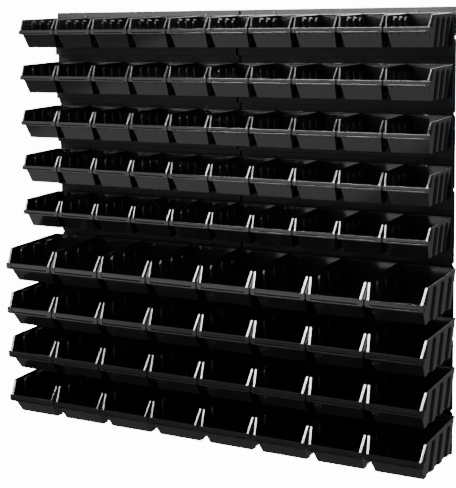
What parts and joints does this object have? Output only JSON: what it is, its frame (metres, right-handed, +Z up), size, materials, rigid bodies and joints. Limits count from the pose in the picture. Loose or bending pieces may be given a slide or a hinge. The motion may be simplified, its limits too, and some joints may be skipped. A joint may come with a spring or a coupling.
{
  "type": "hanging parts bin",
  "caption": "Wall rack of black moulded louvre panels with open-fronted parts bins hung in rows on its rails, small above and larger below.",
  "frame": {"origin": "middle of the rack's back face, on the wall", "axes": "+X to the right seen from the front, +Z up, +Y into the wall, bins open towards -Y"},
  "size_m": [1.177, 0.246, 1.089],
  "materials": {
    "panel_plastic": "satin moulded black",
    "bin_plastic": "semi-gloss moulded black",
    "zinc_screw": "zinc plated"
  },
  "bodies": {
    "rack": {"panel_r1_c1": "panel_plastic", "panel_r1_c2": "panel_plastic", "panel_r2_c1": "panel_plastic", "panel_r2_c2": "panel_plastic", "panel_r3_c1": "panel_plastic", "panel_r3_c2": "panel_plastic", "wall_screws": "zinc_screw"},
    "small_bin_r1_01": {"small_bin_r1_01": "bin_plastic"},
    "small_bin_r1_02": {"small_bin_r1_02": "bin_plastic"},
    "small_bin_r1_03": {"small_bin_r1_03": "bin_plastic"},
    "small_bin_r1_04": {"small_bin_r1_04": "bin_plastic"},
    "small_bin_r1_05": {"small_bin_r1_05": "bin_plastic"},
    "small_bin_r1_06": {"small_bin_r1_06": "bin_plastic"},
    "small_bin_r1_07": {"small_bin_r1_07": "bin_plastic"},
    "small_bin_r1_08": {"small_bin_r1_08": "bin_plastic"},
    "small_bin_r1_09": {"small_bin_r1_09": "bin_plastic"},
    "small_bin_r1_10": {"small_bin_r1_10": "bin_plastic"},
    "small_bins_r2_left": {"small_bins_r2_left": "bin_plastic"},
    "small_bins_r2_right": {"small_bins_r2_right": "bin_plastic"},
    "small_bins_r3_left": {"small_bins_r3_left": "bin_plastic"},
    "small_bins_r3_right": {"small_bins_r3_right": "bin_plastic"},
    "small_bins_r4_left": {"small_bins_r4_left": "bin_plastic"},
    "small_bins_r4_right": {"small_bins_r4_right": "bin_plastic"},
    "small_bins_r5_left": {"small_bins_r5_left": "bin_plastic"},
    "small_bins_r5_right": {"small_bins_r5_right": "bin_plastic"},
    "large_bin_r6_1": {"large_bin_r6_1": "bin_plastic"},
    "large_bin_r6_2": {"large_bin_r6_2": "bin_plastic"},
    "large_bin_r6_3": {"large_bin_r6_3": "bin_plastic"},
    "large_bin_r6_4": {"large_bin_r6_4": "bin_plastic"},
    "large_bin_r6_5": {"large_bin_r6_5": "bin_plastic"},
    "large_bin_r6_6": {"large_bin_r6_6": "bin_plastic"},
    "large_bin_r6_7": {"large_bin_r6_7": "bin_plastic"},
    "large_bin_r6_8": {"large_bin_r6_8": "bin_plastic"},
    "large_bin_r7_1": {"large_bin_r7_1": "bin_plastic"},
    "large_bin_r7_2": {"large_bin_r7_2": "bin_plastic"},
    "large_bin_r7_3": {"large_bin_r7_3": "bin_plastic"},
    "large_bin_r7_4": {"large_bin_r7_4": "bin_plastic"},
    "large_bin_r7_5": {"large_bin_r7_5": "bin_plastic"},
    "large_bin_r7_6": {"large_bin_r7_6": "bin_plastic"},
    "large_bin_r7_7": {"large_bin_r7_7": "bin_plastic"},
    "large_bin_r7_8": {"large_bin_r7_8": "bin_plastic"},
    "large_bin_r8_1": {"large_bin_r8_1": "bin_plastic"},
    "large_bin_r8_2": {"large_bin_r8_2": "bin_plastic"},
    "large_bin_r8_3": {"large_bin_r8_3": "bin_plastic"},
    "large_bin_r8_4": {"large_bin_r8_4": "bin_plastic"},
    "large_bin_r8_5": {"large_bin_r8_5": "bin_plastic"},
    "large_bin_r8_6": {"large_bin_r8_6": "bin_plastic"},
    "large_bin_r8_7": {"large_bin_r8_7": "bin_plastic"},
    "large_bin_r8_8": {"large_bin_r8_8": "bin_plastic"},
    "large_bin_r9_1": {"large_bin_r9_1": "bin_plastic"},
    "large_bin_r9_2": {"large_bin_r9_2": "bin_plastic"},
    "large_bin_r9_3": {"large_bin_r9_3": "bin_plastic"},
    "large_bin_r9_4": {"large_bin_r9_4": "bin_plastic"},
    "large_bin_r9_5": {"large_bin_r9_5": "bin_plastic"},
    "large_bin_r9_6": {"large_bin_r9_6": "bin_plastic"},
    "large_bin_r9_7": {"large_bin_r9_7": "bin_plastic"},
    "large_bin_r9_8": {"large_bin_r9_8": "bin_plastic"}
  },
  "joints": [
    {"name": "lift_small_bin_r1_01", "type": "slide", "parent": "rack", "child": "small_bin_r1_01", "axis": [0, 0, 1], "range_m": [0, 0.012]},
    {"name": "lift_small_bin_r1_02", "type": "slide", "parent": "rack", "child": "small_bin_r1_02", "axis": [0, 0, 1], "range_m": [0, 0.012]},
    {"name": "lift_small_bin_r1_03", "type": "slide", "parent": "rack", "child": "small_bin_r1_03", "axis": [0, 0, 1], "range_m": [0, 0.012]},
    {"name": "lift_small_bin_r1_04", "type": "slide", "parent": "rack", "child": "small_bin_r1_04", "axis": [0, 0, 1], "range_m": [0, 0.012]},
    {"name": "lift_small_bin_r1_05", "type": "slide", "parent": "rack", "child": "small_bin_r1_05", "axis": [0, 0, 1], "range_m": [0, 0.012]},
    {"name": "lift_small_bin_r1_06", "type": "slide", "parent": "rack", "child": "small_bin_r1_06", "axis": [0, 0, 1], "range_m": [0, 0.012]},
    {"name": "lift_small_bin_r1_07", "type": "slide", "parent": "rack", "child": "small_bin_r1_07", "axis": [0, 0, 1], "range_m": [0, 0.012]},
    {"name": "lift_small_bin_r1_08", "type": "slide", "parent": "rack", "child": "small_bin_r1_08", "axis": [0, 0, 1], "range_m": [0, 0.012]},
    {"name": "lift_small_bin_r1_09", "type": "slide", "parent": "rack", "child": "small_bin_r1_09", "axis": [0, 0, 1], "range_m": [0, 0.012]},
    {"name": "lift_small_bin_r1_10", "type": "slide", "parent": "rack", "child": "small_bin_r1_10", "axis": [0, 0, 1], "range_m": [0, 0.012]},
    {"name": "lift_small_bins_r2_left", "type": "slide", "parent": "rack", "child": "small_bins_r2_left", "axis": [0, 0, 1], "range_m": [0, 0.012]},
    {"name": "lift_small_bins_r2_right", "type": "slide", "parent": "rack", "child": "small_bins_r2_right", "axis": [0, 0, 1], "range_m": [0, 0.012]},
    {"name": "lift_small_bins_r3_left", "type": "slide", "parent": "rack", "child": "small_bins_r3_left", "axis": [0, 0, 1], "range_m": [0, 0.012]},
    {"name": "lift_small_bins_r3_right", "type": "slide", "parent": "rack", "child": "small_bins_r3_right", "axis": [0, 0, 1], "range_m": [0, 0.012]},
    {"name": "lift_small_bins_r4_left", "type": "slide", "parent": "rack", "child": "small_bins_r4_left", "axis": [0, 0, 1], "range_m": [0, 0.012]},
    {"name": "lift_small_bins_r4_right", "type": "slide", "parent": "rack", "child": "small_bins_r4_right", "axis": [0, 0, 1], "range_m": [0, 0.012]},
    {"name": "lift_small_bins_r5_left", "type": "slide", "parent": "rack", "child": "small_bins_r5_left", "axis": [0, 0, 1], "range_m": [0, 0.012]},
    {"name": "lift_small_bins_r5_right", "type": "slide", "parent": "rack", "child": "small_bins_r5_right", "axis": [0, 0, 1], "range_m": [0, 0.012]},
    {"name": "lift_large_bin_r6_1", "type": "slide", "parent": "rack", "child": "large_bin_r6_1", "axis": [0, 0, 1], "range_m": [0, 0.012]},
    {"name": "lift_large_bin_r6_2", "type": "slide", "parent": "rack", "child": "large_bin_r6_2", "axis": [0, 0, 1], "range_m": [0, 0.012]},
    {"name": "lift_large_bin_r6_3", "type": "slide", "parent": "rack", "child": "large_bin_r6_3", "axis": [0, 0, 1], "range_m": [0, 0.012]},
    {"name": "lift_large_bin_r6_4", "type": "slide", "parent": "rack", "child": "large_bin_r6_4", "axis": [0, 0, 1], "range_m": [0, 0.012]},
    {"name": "lift_large_bin_r6_5", "type": "slide", "parent": "rack", "child": "large_bin_r6_5", "axis": [0, 0, 1], "range_m": [0, 0.012]},
    {"name": "lift_large_bin_r6_6", "type": "slide", "parent": "rack", "child": "large_bin_r6_6", "axis": [0, 0, 1], "range_m": [0, 0.012]},
    {"name": "lift_large_bin_r6_7", "type": "slide", "parent": "rack", "child": "large_bin_r6_7", "axis": [0, 0, 1], "range_m": [0, 0.012]},
    {"name": "lift_large_bin_r6_8", "type": "slide", "parent": "rack", "child": "large_bin_r6_8", "axis": [0, 0, 1], "range_m": [0, 0.012]},
    {"name": "lift_large_bin_r7_1", "type": "slide", "parent": "rack", "child": "large_bin_r7_1", "axis": [0, 0, 1], "range_m": [0, 0.012]},
    {"name": "lift_large_bin_r7_2", "type": "slide", "parent": "rack", "child": "large_bin_r7_2", "axis": [0, 0, 1], "range_m": [0, 0.012]},
    {"name": "lift_large_bin_r7_3", "type": "slide", "parent": "rack", "child": "large_bin_r7_3", "axis": [0, 0, 1], "range_m": [0, 0.012]},
    {"name": "lift_large_bin_r7_4", "type": "slide", "parent": "rack", "child": "large_bin_r7_4", "axis": [0, 0, 1], "range_m": [0, 0.012]},
    {"name": "lift_large_bin_r7_5", "type": "slide", "parent": "rack", "child": "large_bin_r7_5", "axis": [0, 0, 1], "range_m": [0, 0.012]},
    {"name": "lift_large_bin_r7_6", "type": "slide", "parent": "rack", "child": "large_bin_r7_6", "axis": [0, 0, 1], "range_m": [0, 0.012]},
    {"name": "lift_large_bin_r7_7", "type": "slide", "parent": "rack", "child": "large_bin_r7_7", "axis": [0, 0, 1], "range_m": [0, 0.012]},
    {"name": "lift_large_bin_r7_8", "type": "slide", "parent": "rack", "child": "large_bin_r7_8", "axis": [0, 0, 1], "range_m": [0, 0.012]},
    {"name": "lift_large_bin_r8_1", "type": "slide", "parent": "rack", "child": "large_bin_r8_1", "axis": [0, 0, 1], "range_m": [0, 0.012]},
    {"name": "lift_large_bin_r8_2", "type": "slide", "parent": "rack", "child": "large_bin_r8_2", "axis": [0, 0, 1], "range_m": [0, 0.012]},
    {"name": "lift_large_bin_r8_3", "type": "slide", "parent": "rack", "child": "large_bin_r8_3", "axis": [0, 0, 1], "range_m": [0, 0.012]},
    {"name": "lift_large_bin_r8_4", "type": "slide", "parent": "rack", "child": "large_bin_r8_4", "axis": [0, 0, 1], "range_m": [0, 0.012]},
    {"name": "lift_large_bin_r8_5", "type": "slide", "parent": "rack", "child": "large_bin_r8_5", "axis": [0, 0, 1], "range_m": [0, 0.012]},
    {"name": "lift_large_bin_r8_6", "type": "slide", "parent": "rack", "child": "large_bin_r8_6", "axis": [0, 0, 1], "range_m": [0, 0.012]},
    {"name": "lift_large_bin_r8_7", "type": "slide", "parent": "rack", "child": "large_bin_r8_7", "axis": [0, 0, 1], "range_m": [0, 0.012]},
    {"name": "lift_large_bin_r8_8", "type": "slide", "parent": "rack", "child": "large_bin_r8_8", "axis": [0, 0, 1], "range_m": [0, 0.012]},
    {"name": "lift_large_bin_r9_1", "type": "slide", "parent": "rack", "child": "large_bin_r9_1", "axis": [0, 0, 1], "range_m": [0, 0.012]},
    {"name": "lift_large_bin_r9_2", "type": "slide", "parent": "rack", "child": "large_bin_r9_2", "axis": [0, 0, 1], "range_m": [0, 0.012]},
    {"name": "lift_large_bin_r9_3", "type": "slide", "parent": "rack", "child": "large_bin_r9_3", "axis": [0, 0, 1], "range_m": [0, 0.012]},
    {"name": "lift_large_bin_r9_4", "type": "slide", "parent": "rack", "child": "large_bin_r9_4", "axis": [0, 0, 1], "range_m": [0, 0.012]},
    {"name": "lift_large_bin_r9_5", "type": "slide", "parent": "rack", "child": "large_bin_r9_5", "axis": [0, 0, 1], "range_m": [0, 0.012]},
    {"name": "lift_large_bin_r9_6", "type": "slide", "parent": "rack", "child": "large_bin_r9_6", "axis": [0, 0, 1], "range_m": [0, 0.012]},
    {"name": "lift_large_bin_r9_7", "type": "slide", "parent": "rack", "child": "large_bin_r9_7", "axis": [0, 0, 1], "range_m": [0, 0.012]},
    {"name": "lift_large_bin_r9_8", "type": "slide", "parent": "rack", "child": "large_bin_r9_8", "axis": [0, 0, 1], "range_m": [0, 0.012]}
  ]
}
